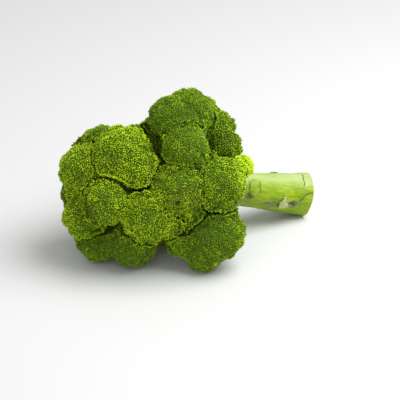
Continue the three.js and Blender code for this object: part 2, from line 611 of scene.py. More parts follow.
def piece_of(name: str, bm: bmesh.types.BMesh, materials: list[Material]) -> Object:
    """Makes a smooth-shaded object of a bmesh.

    Args:
        name: The object's name.
        bm: The shape, which is freed.
        materials: Its material slots.

    Returns:
        The object, at the origin.
    """
    mesh = mesh_of(name, bm)
    mesh.shade_smooth()
    for material in materials:
        mesh.materials.append(material)
    return placed(name, mesh)


def enrol(piece: Object, slot: Slot, *nodes: str) -> Object:
    """Attaches a piece to its body, hides the CAD nodes that it stands for and logs its face
    count.

    Args:
        piece: The finished piece.
        slot: Its material slot in the record; not used.
        nodes: The CAD nodes that it replaces.

    Returns:
        The same piece.
    """
    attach(piece, BODY)
    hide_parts(*nodes)
    log.info("%s: %d faces", piece.name, len(piece.data.polygons))
    return piece


def tree_of(points: np.ndarray) -> KDTree:
    """Makes a search tree over points.

    Args:
        points: The points, one a row.

    Returns:
        The tree, whose indices are the rows.
    """
    tree = KDTree(len(points))
    for index, point in enumerate(points):
        tree.insert(point, index)
    tree.balance()
    return tree


def spaced(points: np.ndarray, gap: float) -> list[int]:
    """Picks points that keep a distance from each other, in their own order.

    Args:
        points: Candidate points, one a row.
        gap: The least distance between two picked points.

    Returns:
        The picked rows.
    """
    tree = tree_of(points)
    free = np.ones(len(points), bool)
    picked = []
    for index, point in enumerate(points):
        if free[index]:
            picked.append(index)
            for _, other, _ in tree.find_range(point, gap):
                free[other] = False
    return picked


def ease(value: np.ndarray | float, low: float, high: float) -> np.ndarray | float:
    """A smooth step from 0 at low to 1 at high."""
    share = np.clip((value - low) / (high - low), 0, 1)
    return share * share * (3 - 2 * share)


def tubes(paths: list[TubePath], sides: int) -> bmesh.types.BMesh:
    """Makes closed round tubes along paths.

    Args:
        paths: For each tube its points, each with a radius.
        sides: Corners of a tube's section, an even number.

    Returns:
        One bmesh of all the tubes.
    """
    curve = bpy.data.curves.new("tubes", "CURVE")
    curve.dimensions = "3D"
    curve.bevel_depth = 1.0
    curve.bevel_resolution = sides // 2 - 2
    curve.use_fill_caps = True
    for path in paths:
        spline = curve.splines.new("POLY")
        spline.points.add(len(path) - 1)
        for point, (place, radius) in zip(spline.points, path, strict=True):
            point.co = (*place, 1)
            point.radius = radius
    draft = placed("tubes", curve)
    result = bmesh.new()
    evaluated = draft.evaluated_get(bpy.context.evaluated_depsgraph_get())
    mesh = bpy.data.meshes.new_from_object(evaluated)
    result.from_mesh(mesh)
    bmesh.ops.remove_doubles(result, verts=result.verts, dist=WELD / 10)
    bpy.data.objects.remove(draft)
    bpy.data.curves.remove(curve)
    bpy.data.meshes.remove(mesh)
    return result


# ---- florets -----------------------------------------------------------------------------


class Bud:
    """One flower bud, a small egg on its narrower end, kept ready to be repeated."""

    def __init__(self, segments: int = 6, rings: int = 4, length: float = 1.22) -> None:
        """Makes the bud with a radius of 1 and its tip up.

        Args:
            segments: Faces round the bud.
            rings: Faces along it.
            length: Its length over its width.
        """
        bm = bmesh.new()
        bmesh.ops.create_uvsphere(bm, u_segments=segments, v_segments=rings, radius=1.0)
        for vert in bm.verts:
            narrow = 0.86 + 0.12 * vert.co.z
            vert.co = (vert.co.x * narrow, vert.co.y * narrow, vert.co.z * length)
        bm.loops.layers.uv.new(PALETTE_MAP)
        self.mesh = mesh_of("bud", bm)
        self.shape = np.array([vert.co for vert in self.mesh.vertices])
        corners = self.shape[[loop.vertex_index for loop in self.mesh.loops]]
        # height on the bud, which the palette's shade ramp turns into painted shade low on the bud
        heights = 0.5 + 0.48 * corners[:, 2] / length
        self.map = np.stack([0.007 * corners[:, 0], heights], axis=1)

    def add_to(
        self,
        skin: bmesh.types.BMesh,
        place: Vector,
        turn: Matrix,
        size: float,
        tone: float,
        light: float = 1.0,
    ) -> None:
        """Adds one bud to a mesh.

        Args:
            skin: The mesh that gets the bud.
            place: The bud's middle.
            turn: Its turn, as a 3×3 matrix.
            size: Its radius.
            tone: Its place along the palette.
            light: Painted light, 1 for a bud in the open, less for one deep in a crease; it lowers
                the bud's height on the palette, which the shade ramp darkens.
        """
        corners = self.shape @ (np.array(turn).T * size) + np.array(place)
        self.mesh.vertices.foreach_set("co", corners.astype(np.float32).ravel())
        uv = self.map * np.array([1.0, light]) + np.array([tone, 0.0])
        self.mesh.uv_layers[PALETTE_MAP].uv.foreach_set("vector", uv.astype(np.float32).ravel())
        skin.from_mesh(self.mesh)


@dataclass(frozen=True)
class Look:
    """What sets one floret apart from the others."""

    tone: float = 0.0  # added to every bud's place on the palette
    shoulder: float = 1.3 * MM  # how far the skin sinks beside another floret


@dataclass(frozen=True)
class TintAndShadePatch:
    """A patch of buds with a tone of their own; a dark patch is painted shade."""

    middle: Vector
    reach: float  # its radius
    tone: float  # added to the tone in the middle of the patch, or the tone itself
    ageing: bool = False  # whether single buds turn to the tone instead


@dataclass
class Crown:
    """The outline of all the florets together, which bridges the creases between them."""

    names: list[str]
    voxel: float = 2.4 * MM
    reach: float = 12 * MM  # radius of the ball that would roll over the creases
    rounds: int = 4  # of smoothing after each step

    def outline(self) -> BVHTree:
        """Makes the outline: the florets grown till they close up, and shrunk back.

        Returns:
            A search tree over the outline.
        """
        joined = bmesh.new()
        for name in self.names:
            joined.from_mesh(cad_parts[f"floret_{name}"].data)
        bmesh.ops.remove_doubles(joined, verts=joined.verts, dist=WELD)
        shape = remeshed(joined, self.voxel)
        for way in (1, -1):
            smooth(shape, self.rounds)
            swell(shape, [way * self.reach] * len(shape.verts))
            if way > 0:
                shape = remeshed(shape, self.voxel)
        smooth(shape, self.rounds)
        tree = BVHTree.FromBMesh(shape)
        shape.free()
        return tree


@dataclass
class Floret:
    """A floret: the dome that its branchlets carry, covered in tight buds."""

    name: str
    look: Look
    neighbours: BVHTree
    crown: BVHTree
    material: Material
    tint_and_shade_patches: list[TintAndShadePatch]
    voxel: float = 1.5 * MM
    nearby: float = 12 * MM  # how far off another floret is still felt
    open_room: float = 4 * MM  # how far off it no longer hides a place
    growth: float = -0.7 * MM  # how far the skin swells before it is creased
    sway: float = 2.2 * MM  # how far the whole crown's shape strays from round lobes
    lump: float = 1.1 * MM  # how far smaller parts of it stray
    bud: float = 0.82 * MM
    gap: float = 1.34 * MM
    billow: float = 16.0 * MM  # width of the broad swellings
    billow_rise: float = 2.3 * MM
    cushion: float = 8.0 * MM  # width of a cushion of buds
    cushion_rise: float = 1.7 * MM
    sprig: float = 4.6 * MM  # width of the small groups that make up a cushion
    sprig_rise: float = 0.9 * MM
    under_side: float = -0.32  # how far a place faces back where the buds stop
    rim_side: float = -0.25  # and where the branchlets start
    dimmest: float = 0.55  # the painted light left on a bud in the deepest crease
    rib_gap: float = 5.5 * MM
    rib_tip: float = 0.7 * MM  # a branchlet's radius at the buds
    rib_gain: float = 1.1 * MM  # how much thicker it is where it meets the branch
    rib_steps: int = 8
    rng: np.random.Generator = field(init=False)
    fork: Vector = field(init=False)
    tree: KDTree = field(init=False)  # finds the skin's vertices
    sides: tuple[np.ndarray, np.ndarray] = field(init=False)  # their dome side and room
    ribs: list[TubePath] = field(init=False, default_factory=list)

    def __post_init__(self) -> None:
        """Gives each floret its own random numbers and finds where its branch forks."""
        self.rng = np.random.default_rng(SEED + sum(map(ord, self.name)))
        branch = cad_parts[f"branch_{self.name}"].data
        self.fork = sum((vert.co for vert in branch.vertices), Vector()) / len(branch.vertices)

    def build(self, bud: Bud) -> Object:
        """Makes the floret.

        Args:
            bud: The bud to repeat.

        Returns:
            The finished piece.
        """
        skin = self.skin()
        room = np.array([self.near_neighbour(vert.co, self.nearby) for vert in skin.verts])
        places, dome = self.read(skin)
        filled = self.fill(skin, dome, room)
        places, dome = self.read(skin)
        dome = np.maximum(dome, filled - 0.2)
        billows = self.middles(places, dome, self.billow)
        cushions = self.middles(places, dome, self.cushion)
        self.ribs = self.rib_paths(skin, places, dome)
        rim = np.maximum(1 - ease(dome, 0.4, 0.9), 1 - ease(room, 2 * MM, self.nearby))
        rise = self.risen(places, billows, self.billow, self.billow_rise)
        rise += self.risen(places, cushions, self.cushion, self.cushion_rise) * (0.6 + rim)
        rise *= ease(dome, -0.1, 0.25)
        rise -= self.look.shoulder * (1 - ease(room, 0.5 * MM, 4.5 * MM))
        rise += self.sway * ripple(skin, 30)
        rise += self.lump * ripple(skin, 85)
        swell(skin, (rise + self.growth).tolist())
        above_surface(skin)
        self.colour_skin(skin, dome, room)
        self.tree = tree_of(np.array([vert.co for vert in skin.verts]))
        self.sides = (dome, room)
        for place, axis, size, tone, light in self.bud_places(skin, cushions):
            bud.add_to(skin, place, self.turned(axis), size, tone, light)
        above_surface(skin)
        piece = piece_of(f"floret_{self.name}_buds", skin, [self.material])
        return enrol(piece, Slot.BUDS, f"floret_{self.name}")

    def read(self, skin: bmesh.types.BMesh) -> tuple[np.ndarray, np.ndarray]:
        """Reads the skin.

        Args:
            skin: The skin, whose normals are updated.

        Returns:
            Its points, one a row, and how far each faces away from the branch.
        """
        skin.normal_update()
        places = np.array([vert.co for vert in skin.verts])
        return places, self.dome_side(places, np.array([vert.normal for vert in skin.verts]))

    def fill(self, skin: bmesh.types.BMesh, dome: np.ndarray, room: np.ndarray) -> np.ndarray:
        """Moves the sides of creases out towards the crown's outline.

        Args:
            skin: The skin to change.
            dome: How far each vertex faces outward.
            room: How far each vertex is from another floret.

        Returns:
            Each vertex's share of the way, from 0 to 1.
        """
        shares = (1 - ease(room, 3 * MM, 10 * MM)) * ease(dome, -0.1, 0.3)
        for vert, share in zip(skin.verts, shares, strict=True):
            near, normal, _, depth = self.crown.find_nearest(vert.co)
            if share > 0 and (near - vert.co).dot(normal) > 0:
                share *= 1 - float(ease(depth, 5 * MM, 14 * MM))
                vert.co += (near - vert.co) * float(share)
        return shares

    def turned(self, axis: Vector) -> Matrix:
        """A turn that points a bud along an axis, spun about it at random."""
        spin = Matrix.Rotation(float(self.rng.uniform(0, math.tau)), 3, "Z")
        return axis.to_track_quat("Z", "Y").to_matrix() @ spin

    def skin(self) -> bmesh.types.BMesh:
        """Makes the dome under the buds: the CAD solid, evened out and softened.

        Returns:
            The skin.
        """
        skin = remeshed(merged_copy(f"floret_{self.name}"), self.voxel)
        smooth(skin, 8)
        skin.normal_update()
        return skin

    def dome_side(self, places: np.ndarray, normals: np.ndarray) -> np.ndarray:
        """How far each place faces away from the branch or the stalk.

        Args:
            places: Points of the skin.
            normals: Their normals.

        Returns:
            The side of each, from -1 at the back to 1 on the dome.
        """
        sides = []
        for centre in (self.fork, HUB):
            outward = places - np.array(centre)
            outward /= np.linalg.norm(outward, axis=1)[:, None]
            sides.append((outward * normals).sum(1))
        return np.maximum(*sides)

    def middles(self, places: np.ndarray, dome: np.ndarray, width: float) -> np.ndarray:
        """Picks the middles of the swellings on the dome.

        Args:
            places: Points of the skin.
            dome: How far each faces outward.
            width: The width of a swelling.

        Returns:
            The middles, one a row.
        """
        candidates = places[self.rng.permutation(np.flatnonzero(dome > -0.2))]
        return candidates[spaced(candidates, width * 0.8)]

    def risen(
        self, places: np.ndarray, middles: np.ndarray, width: float, height: float
    ) -> np.ndarray:
        """How far each place lies under the tops of swellings, as a negative rise.

        Args:
            places: Points of the skin.
            middles: The middles of the swellings.
            width: Their width.
            height: Their height above the creases between them.

        Returns:
            The rise of each place.
        """
        if len(middles) < 2:
            return np.zeros(len(places))
        tree = tree_of(middles)
        shares = np.zeros(len(places))
        for index, place in enumerate(places):
            near = tree.find_n(place, 2)
            shares[index] = (near[1][2] - near[0][2]) / width
        return height * (ease(shares, -0.25, 0.7) - 1)

    def near_neighbour(self, place: Vector, reach: float) -> float:
        """Distance to the closest other floret, or reach if none is that close."""
        found = self.neighbours.find_nearest(place, reach)
        return found[3] if found[0] is not None else reach

    def rib_paths(
        self, skin: bmesh.types.BMesh, places: np.ndarray, dome: np.ndarray
    ) -> list[TubePath]:
        """Lays branchlets over the floret's back, from its rim to its branch.

        Args:
            skin: The dome, before it is sunk under the buds.
            places: Points of the skin.
            dome: How far each faces outward.

        Returns:
            For each branchlet its points with their radii.
        """
        backs = np.array([vert.normal.dot(TO_BASE) for vert in skin.verts])
        on_rim = (np.abs(dome - self.rim_side) < 0.12) & (backs > 0.2)
        open_rim = [
            spot
            for spot in np.flatnonzero(on_rim)
            if self.near_neighbour(Vector(places[spot]), self.nearby) > self.open_room
        ]
        if len(open_rim) < 2:
            return []
        rim = places[self.rng.permutation(open_rim)]
        starts = [Vector(point) for point in rim[spaced(rim, self.rib_gap)]]
        back = BVHTree.FromBMesh(skin)
        branch = merged_copy(f"branch_{self.name}")
        wood = BVHTree.FromBMesh(branch)
        branch.free()
        roots = np.array([wood.find_nearest(start)[0] for start in starts])
        roots = roots[spaced(roots, self.rib_gap)]
        paths = []
        for start in starts:
            root = Vector(min(roots, key=lambda place: (Vector(place) - start).length))
            paths.append(self.over_back(start, root, back) + self.along_branch(root, wood))
        return paths

    def over_back(self, start: Vector, root: Vector, back: BVHTree) -> TubePath:
        """Lays a branchlet over the floret's back.

        Args:
            start: Where it leaves the buds.
            root: Where it meets the branch.
            back: The floret's skin.

        Returns:
            Its points with their radii.
        """
        path = []
        for step in range(self.rib_steps + 1):
            share = step / self.rib_steps
            inner = start.lerp(root, share)
            near, normal, _, _ = back.find_nearest(inner)
            if normal.dot(TO_BASE) < 0:
                near = inner
            thick = self.rib_tip + self.rib_gain * share
            sway = self.jitter(0.35 * MM) * math.sin(math.pi * share)
            sunk = thick * 0.3 - self.growth * (1 - share)
            path.append((near + sway - normal * sunk, thick))
        return path

    def along_branch(self, root: Vector, wood: BVHTree) -> TubePath:
        """Runs a branchlet out along its branch, ever thinner.

        Args:
            root: Where it meets the branch.
            wood: The branch's surface.

        Returns:
            Its points with their radii.
        """
        path = []
        for step in range(1, 5):
            inward = root.lerp(self.fork, step / 6)
            near, normal, _, _ = wood.find_nearest(inward)
            thick = (1.9 - 0.25 * step) * MM
            path.append((near - normal * thick * 0.35, thick))
        return path

    def colour_skin(self, skin: bmesh.types.BMesh, dome: np.ndarray, room: np.ndarray) -> None:
        """Gives the skin its places on the palette: a deep tone low on the shade ramp under the
        buds, which is painted shade, and stem colour behind.

        Args:
            skin: The skin.
            dome: How far each vertex faces outward.
            room: How far each vertex is from another floret.
        """
        layer = skin.loops.layers.uv.new(PALETTE_MAP)
        bare = (dome < -0.4) & (room > self.open_room)
        for face in skin.faces:
            stem = all(bare[vert.index] for vert in face.verts)
            for loop in face.loops:
                wave = noise.noise(loop.vert.co * 400) * 0.02
                # under the buds the skin gets the deep tone low on the shade ramp: painted shade
                # between the buds
                tone = Tone.STEM.value if stem else Tone.DEEP.value
                height = 0.5 if stem else 0.3
                loop[layer].uv = (tone + wave, height + 2 * wave)

    def bud_places(
        self, skin: bmesh.types.BMesh, cushions: np.ndarray
    ) -> list[tuple[Vector, Vector, float, float, float]]:
        """Picks where buds stand on the dome.

        Args:
            skin: The finished skin.
            cushions: The middles of the cushions.

        Returns:
            For each bud its place, its axis, its radius, its tone and its painted light.
        """
        surface = BVHTree.FromBMesh(skin)
        points = self.scattered(skin)
        points = points[spaced(points, self.gap)]
        shuffled = points[self.rng.permutation(len(points))]
        sprigs = shuffled[spaced(shuffled, self.sprig * 0.8)]
        cushion_tree, sprig_tree = tree_of(cushions), tree_of(sprigs)
        found = []
        for point in points:
            place, normal, _, _ = surface.find_nearest(point)
            dome, room = (float(side[self.tree.find(place)[1]]) for side in self.sides)
            pit = noise.noise(place * 520) > 0.52
            if dome < self.under_side or pit or place.z < 0.5 * MM:
                continue
            middle, _, far = cushion_tree.find(place)
            knot, _, off = sprig_tree.find(place)
            lean = (place - middle) * (0.34 / self.cushion) + (place - knot) * (0.4 / self.sprig)
            axis = (normal + lean + self.jitter(0.1)).normalized()
            rise = self.sprig_rise * (1 - (off / self.sprig) ** 2)
            rise += float(self.rng.normal(0, 0.12 * MM))
            size = self.bud * float(self.rng.uniform(0.82, 1.14))
            light = self.painted_light_at(room, far, off)
            tone = self.tone_at(place, room, far) + 0.16 * noise.noise(knot * 700)
            found.append((place + normal * rise, axis, size, tone, light))
        return found

    def painted_light_at(self, room: float, far: float, off: float) -> float:
        """How much painted light a bud gets: its colour is darkened as painted shade in creases
        and at the edges of cushions and sprigs, with a little random change.

        Args:
            room: Distance to the next floret.
            far: Distance to the middle of its cushion.
            off: Distance to the middle of its sprig.

        Returns:
            The painted light, from 0 to 1.
        """
        light = self.dimmest + (1 - self.dimmest) * float(ease(room, 0.3 * MM, 2.4 * MM))
        light *= float(self.rng.uniform(0.85, 1.0))
        light *= 0.84 + 0.16 * float(ease(far / self.cushion, 0.75, 0.4))
        return light * (1 - 0.25 * float(ease(off / self.sprig, 0.3, 0.6)))

    def scattered(self, skin: bmesh.types.BMesh) -> np.ndarray:
        """Scatters many more points over the skin than there will be buds.

        Args:
            skin: The finished skin.

        Returns:
            The points, one a row.
        """
        corners = np.array([[vert.co for vert in face.verts[:3]] for face in skin.faces])
        others = np.array([[face.verts[i].co for i in (0, 2, -1)] for face in skin.faces])
        corners = np.concatenate([corners, others])
        sides = np.cross(corners[:, 1] - corners[:, 0], corners[:, 2] - corners[:, 0])
        areas = np.linalg.norm(sides, axis=1) / 2
        count = int(8 * areas.sum() / self.gap**2)
        chosen = self.rng.choice(len(areas), count, p=areas / areas.sum())
        shares = np.sqrt(self.rng.random((count, 1)))
        turns = self.rng.random((count, 1))
        first, second, third = (corners[chosen, corner] for corner in range(3))
        return (1 - shares) * first + shares * ((1 - turns) * second + turns * third)

    def jitter(self, amount: float) -> Vector:
        """A small random vector."""
        return Vector(self.rng.normal(0, amount, 3))

    def tone_at(self, place: Vector, room: float, far: float) -> float:
        """A bud's place along the palette.

        Args:
            place: Where the bud stands.
            room: Distance to the next floret.
            far: Distance to the middle of its cushion.

        Returns:
            The tone, from 0 to 1.
        """
        cloud = noise.noise(place * 34) + 0.6 * noise.noise(place * 110)
        cloud += 0.6 * noise.noise(place * 330)
        rim = 1 - float(ease(room, 1.5 * MM, 8 * MM))
        edge = min(far / self.cushion, 1.0)
        tone = Tone.GREEN.value + 0.17 * cloud + 0.13 * rim + 0.08 * (edge - 0.4)
        tone += self.look.tone + float(self.rng.normal(0, 0.085))
        chance = float(self.rng.random())
        for tint_and_shade in self.tint_and_shade_patches:
            share = 1 - float(ease((place - tint_and_shade.middle).length / tint_and_shade.reach, 0.2, 1.0))
            if not tint_and_shade.ageing:
                tone += tint_and_shade.tone * share
            elif chance < share * 0.6:
                return tint_and_shade.tone
        return min(max(tone, Tone.DEEP.value), Tone.LIME.value)


@dataclass
class Shoot(Floret):
    """A loose young shoot: small tufts of buds, each on a pale stem of its own."""

    tuft_gap: float = 4.2 * MM
    tuft: float = 2.0 * MM
    tuft_buds: int = 16
    tuft_cover: float = 1.25  # how far down from its top the buds reach, in radii
    tuft_tone: float = 0.74
    stem: float = 0.75 * MM

    def build(self, bud: Bud) -> Object:
        """Makes the shoot.

        Args:
            bud: The bud to repeat.

        Returns:
            The finished piece.
        """
        dome = self.skin()
        places, facing = self.read(dome)
        dome.free()
        tips = places[self.rng.permutation(np.flatnonzero(facing > -0.1))]
        tips = [self.fork.lerp(Vector(tip), 0.9) for tip in tips[spaced(tips, self.tuft_gap)]]
        skin = tubes([self.stem_path(tip) for tip in tips], 8)
        layer = skin.loops.layers.uv.new(PALETTE_MAP)
        for face in skin.faces:
            for loop in face.loops:
                wave = noise.noise(loop.vert.co * 300) * 0.03
                loop[layer].uv = (Tone.STEM.value + wave, 0.9 + wave)
        for tip in tips:
            self.add_tuft(skin, bud, tip, (tip - self.fork).normalized())
        piece = piece_of(f"floret_{self.name}_buds", skin, [self.material])
        return enrol(piece, Slot.BUDS, f"floret_{self.name}")

    def stem_path(self, tip: Vector) -> TubePath:
        """Bends a stem slightly from the branch to a tuft.

        Args:
            tip: The stem's end.

        Returns:
            Its points with their radii.
        """
        bend = self.jitter(0.8 * MM)
        path = []
        for share in (0.25, 0.4, 0.55, 0.7, 0.85, 1.0):
            place = self.fork.lerp(tip, share) + bend * math.sin(math.pi * share)
            path.append((place, self.stem * (1.5 - 0.6 * share)))
        return path

    def add_tuft(self, skin: bmesh.types.BMesh, bud: Bud, tip: Vector, out: Vector) -> None:
        """Adds a tuft of buds round the end of a stem.

        Args:
            skin: The shoot's mesh.
            bud: The bud to repeat.
            tip: The stem's end.
            out: Where the tuft faces.
        """
        upright = out.to_track_quat("Z", "Y").to_matrix()
        for step in range(self.tuft_buds):
            level = 1 - self.tuft_cover * (step + 0.5) / self.tuft_buds
            wide = math.sqrt(1 - level * level)
            turn = step * math.pi * (3 - math.sqrt(5))  # the golden angle
            axis = upright @ Vector((wide * math.cos(turn), wide * math.sin(turn), level))
            place = tip + axis * self.tuft + self.jitter(0.15 * MM)
            size = self.bud * float(self.rng.uniform(0.95, 1.25))
            tone = self.tuft_tone + float(self.rng.normal(0, 0.05))
            bud.add_to(skin, place, self.turned(axis), size, min(tone, Tone.LIME.value))


# ---- branches ----------------------------------------------------------------------------


@dataclass
class Branch:
    """A branch with its branchlets, from the stalk to the back of its floret."""

    name: str
    ribs: list[TubePath]
    stalk: BVHTree
    material: Material
    voxel: float = 1.0 * MM
    growth: float = 0.3 * MM  # how far it swells everywhere
    flare: float = 1.6 * MM  # how much further at the stalk
    flare_reach: float = 7 * MM
    ridge: float = 0.5 * MM

    def build(self) -> Object:
        """Makes the branch.

        Returns:
            The finished piece.
        """
        shape = merged_copy(f"branch_{self.name}")
        if self.ribs:
            draft = mesh_of("ribs", tubes(self.ribs, 8))
            shape.from_mesh(draft)
            bpy.data.meshes.remove(draft)
        shape = remeshed(shape, self.voxel)
        smooth(shape, 2)
        swell(shape, [self.swelling(vert.co) for vert in shape.verts])
        smooth(shape, 1)
        above_surface(shape)
        piece = piece_of(f"branch_{self.name}_wood", shape, [self.material])
        return enrol(piece, Slot.BRANCH, f"branch_{self.name}")

    def swelling(self, place: Vector) -> float:
        """How far the branch swells at a place: a flare at the stalk, and soft ridges.

        Args:
            place: The place on the branch.

        Returns:
            The distance outward.
        """
        _, _, _, distance = self.stalk.find_nearest(place)
        flare = self.flare * (1 - float(ease(distance, 0, self.flare_reach)))
        return self.growth + flare + self.ridge * noise.noise(place * 160)


# ---- stalk -------------------------------------------------------------------------------


@dataclass(frozen=True)
class Mark:
    """An oval mark on the stalk, by its place round and along it."""

    turn: float  # degrees from the stalk's upper side, 90 on the far side
    along: float  # from the cut, in millimetres like the other sizes
    across: float  # half its width
    length: float  # half its length
    depth: float  # how far its middle sinks
    rim: float  # how far its edge rises
    scar: float = 0.0  # share of the dull finish
    dark: float = 0.0  # share of painted shade, in the dark scar colour
    wax_and_highlight: float = 0.0  # share of the pale waxy bloom, partly a painted highlight


@dataclass
class Stalk:
    """The cut stalk: ridged waxy skin, leaf marks and a slanted cut face."""

    skin: Material
    face: Material
    cut_height: float = -2.5 * MM  # where the cut crosses the axis
    sides: int = 160
    rings: int = 170
    crowding: float = 1.35  # more than 1 sets the rings closer near the cut
    start: float = -14 * MM
    end: float = 151 * MM
    solid_start: float = 4 * MM  # the stretch where the CAD solid is whole all round
    solid_end: float = 148 * MM
    thin_end: float = 6 * MM  # radius where no solid is met
    ridges: int = 5
    ridge_depth: float = 0.4 * MM
    lumps: float = 0.7 * MM
    wax_highlight_turn: float = math.radians(350)  # the middle of the waxy band, partly a painted highlight on the upper side
    wax_highlight_width: float = 0.52  # its half width, in radians
    grain: float = 0.16 * MM
    furrows: float = 0.1 * MM
    flare: float = 0.8 * MM  # how far the stalk widens at its cut end
    flare_reach: float = 12 * MM
    marks: tuple[Mark, ...] = (
        Mark(246, 38.5, 2.8, 8, 1.3, 0.4, scar=1.0),
        Mark(256, 17.5, 4.4, 5, 2.4, 0.7, scar=0.8),
        # a pale waxy patch at the cut's upper edge, partly a painted highlight
        Mark(338, 1.5, 10, 8.5, 0.5, 0.3, wax_and_highlight=0.85),
        Mark(40, 27, 4, 3.4, 1.0, 0.6, scar=0.6),
        Mark(133, 38, 5, 4, 1.0, 0.6, scar=0.6),
        Mark(70, 9, 3.4, 2.2, 0.6, 0.4, scar=0.7),
        Mark(185, 24, 5, 3.4, 0.8, 0.5, scar=0.6),
        Mark(297, 59, 10, 7, -2.0, 0.0),
        # painted shade along the collar's edge
        Mark(299, 53, 6.5, 1.3, 0.5, 0.0, dark=0.7),
        # painted shadow below the collar
        Mark(268, 63, 3.6, 5, 1.0, 0.0, dark=0.8),
    )
    # cracks, sunk into the skin and darkened with painted shade
    cracks: tuple[Crack, ...] = (
        ((268, 12), (275, 9.6), (281, 8.4), (289, 6.4), (293, 3), (296, -1), (300, -6)),
        ((356, 4.4), (345, 5.2), (333, 6.4), (324, 5.8), (314, 7.8)),
    )
    crack_width: float = 0.5 * MM
    crack_depth: float = 0.9 * MM
    spare: float = 2.6 * MM  # how much further out the skin is cut than the solid
    face_steps: tuple[float, ...] = (
        0.975, 0.93, 0.87, 0.8, 0.72, 0.64, 0.55, 0.46, 0.36, 0.26, 0.16, 0.08
    )  # sizes of the rings on the cut face, as shares of its outline
    face_rough: float = 0.9 * MM
    face_dip: float = 0.5 * MM  # how far the pith has sunk
    into: Vector = field(init=False)  # along the axis, from the cut to the crown
    upper: Vector = field(init=False)
    far: Vector = field(init=False)
    solid: BVHTree = field(init=False)
    cut: Vector = field(init=False)  # the middle of the cut face
    normal: Vector = field(init=False)  # where the cut faces
    base: Vector = field(init=False)  # where the heights along the axis start

    def __post_init__(self) -> None:
        """Sets the stalk's axis from its tilt, and finds its cut from the CAD solid."""
        self.into = Vector((-math.cos(TILT), 0, math.sin(TILT)))
        self.upper = Vector((math.sin(TILT), 0, math.cos(TILT)))
        self.far = Vector((0, 1, 0))
        draft = merged_copy("stalk")
        draft.normal_update()
        self.solid = BVHTree.FromBMesh(draft)
        facing = [face for face in draft.faces if face.normal.x > 0.8]
        area = sum(face.calc_area() for face in facing)
        self.cut = sum((f.calc_center_median() * f.calc_area() for f in facing), Vector()) / area
        self.normal = sum((face.normal * face.calc_area() for face in facing), Vector()) / area
        self.base = self.cut - self.into * self.cut_height
        draft.free()

    def spread(self, turn: float) -> Vector:
        """The direction out of the axis at a turn in radians."""
        return self.upper * math.cos(turn) + self.far * math.sin(turn)

    def radius(self, turn: float, along: float) -> float:
        """The CAD stalk's radius, without its corners.

        Args:
            turn: Angle round the axis.
            along: Distance from the cut.

        Returns:
            The radius at a place clear of the cut.
        """
        clear = min(max(along, self.solid_start), self.solid_end)
        centre = self.base + self.into * clear
        hit, _, _, distance = self.solid.ray_cast(centre, self.spread(turn))
        return distance if hit is not None else self.thin_end

    def build(self) -> Object:
        """Makes the stalk.

        Returns:
            The finished piece.
        """
        shape = bmesh.new()
        bmesh.ops.create_cone(
            shape, cap_ends=False, segments=self.sides, radius1=1, radius2=1, depth=1
        )
        lengthwise = [
            edge for edge in shape.edges if abs(edge.verts[0].co.z - edge.verts[1].co.z) > 0.5
        ]
        bmesh.ops.subdivide_edges(shape, edges=lengthwise, cuts=self.rings - 1, use_grid_fill=True)
        scar = shape.verts.layers.float.new("scar")
        wax_and_highlight = shape.verts.layers.float.new("wax_and_highlight")
        painted_shade = shape.verts.layers.float.new("painted_shade")
        steps = np.linspace(0, 1, self.rings + 1)
        heights = self.start + (self.end - self.start) * steps**self.crowding
        outline = self.outline(heights)
        for vert in shape.verts:
            ring = round((vert.co.z + 0.5) * self.rings)
            turn = math.atan2(vert.co.y, vert.co.x)
            along = heights[ring]
            point = self.surface(turn, along, outline[ring])
            vert.co, vert[scar], vert[painted_shade], vert[wax_and_highlight] = point
        self.trim(shape)
        above_surface(shape)
        piece = piece_of("stalk_skin", shape, [self.skin, self.face])
        return enrol(piece, Slot.STALK, "stalk")

    def outline(self, heights: np.ndarray) -> list[float]:
        """Measures the CAD stalk.

        Args:
            heights: Distances from the cut.

        Returns:
            The mean radius at each.
        """
        rays = 40
        turns = [math.tau * (step + 0.5) / rays for step in range(rays)]
        return [
            sum(self.radius(turn, float(along)) for turn in turns) / len(turns)
            for along in heights
        ]

    def surface(
        self, turn: float, along: float, radius: float
    ) -> tuple[Vector, float, float, float]:
        """A point of the skin.

        Args:
            turn: Angle round the axis.
            along: Distance from the cut.
            radius: The stalk's mean radius there.

        Returns:
            The point, and the shares of the dull finish, the painted shade and the pale waxy bloom
            with its painted highlight there.
        """
        out = self.spread(turn)
        centre = self.base + self.into * along
        place = centre + out * radius
        rise = self.ridge_depth * math.cos(self.ridges * turn + 22 * along)
        rise += self.lumps * noise.noise(place * 48) + self.grain * noise.noise(place * 300)
        rise += self.furrows * noise.noise(Vector((turn * 14, along * 60, 3)))
        rise += self.flare * (1 - float(ease(along, -1 * MM, self.flare_reach)))
        dull, painted_shade, pale = 0.0, 0.0, self.wax_and_highlight_at(turn, along)
        for mark in self.marks:
            sideways = math.remainder(turn - math.radians(mark.turn), math.tau) * radius / MM
            wobble = 1 + 0.3 * noise.noise(place * 420)
            away = math.hypot(sideways / mark.across, (along / MM - mark.along) / mark.length)
            away *= wobble
            inside = 1 - float(ease(away, 0.7, 1.08))
            rise -= mark.depth * MM * (1 - float(ease(away, 0.1, 1.0)))
            rise += mark.rim * MM * max(0.0, 1 - abs(away - 1.12) / 0.3)
            dull = max(dull, mark.scar * inside)
            # painted shade from the dark marks
            painted_shade = max(painted_shade, mark.dark * inside)
            pale = max(pale, mark.wax_and_highlight * inside * (0.7 + 0.8 * noise.noise(place * 500)))
        for crack in self.cracks:
            gap = self.crack_gap(crack, turn, along, radius)
            width = self.crack_width * (1 + 0.5 * noise.noise(place * 700))
            rise -= self.crack_depth * (1 - float(ease(gap, 0.2 * width, width)))
